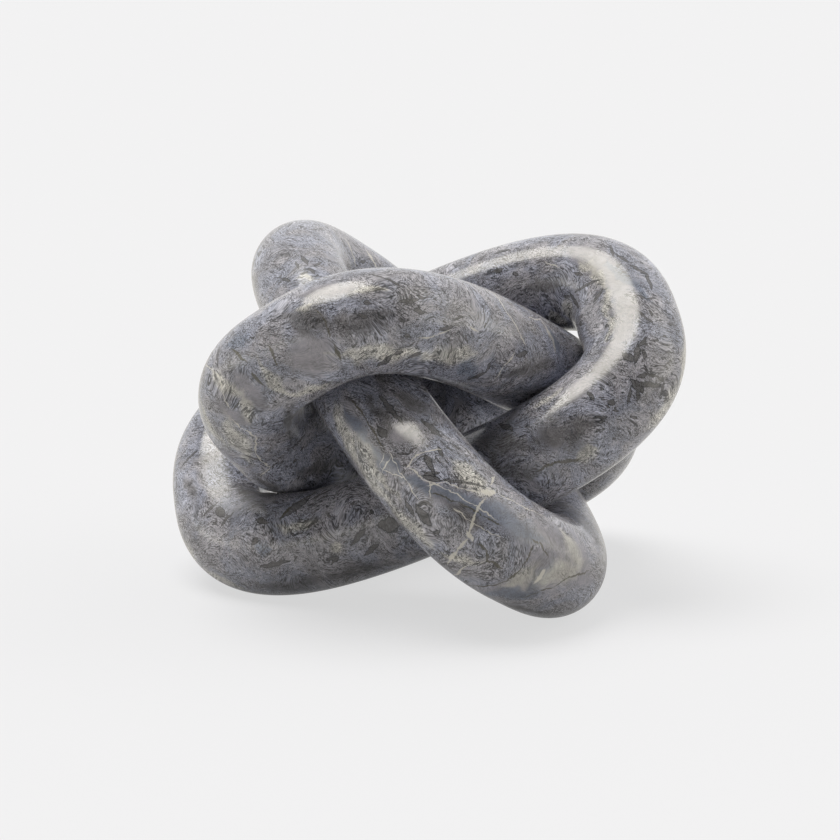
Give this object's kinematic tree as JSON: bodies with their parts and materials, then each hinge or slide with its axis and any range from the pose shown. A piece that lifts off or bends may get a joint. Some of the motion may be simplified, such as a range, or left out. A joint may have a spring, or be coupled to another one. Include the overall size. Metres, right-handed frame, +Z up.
{
  "type": "interlaced ring sculpture",
  "caption": "Table-top sculpture of closed oval rings in round grey marble bar, interlaced so that no pair is linked and yet none can be taken out.",
  "frame": {"origin": "on the surface that the sculpture stands on, under the middle of its outline", "axes": "+Z up, -Y the front that the picture shows, +X to the right of that view"},
  "size_m": [0.2488, 0.2454, 0.1714],
  "materials": {
    "grey_marble": "polished blue-grey marble with dark flecks, pale bands and thin white veins"
  },
  "bodies": {
    "root": {"arch_ring": "grey_marble", "loop_ring": "grey_marble", "cross_ring": "grey_marble"}
  },
  "joints": []
}
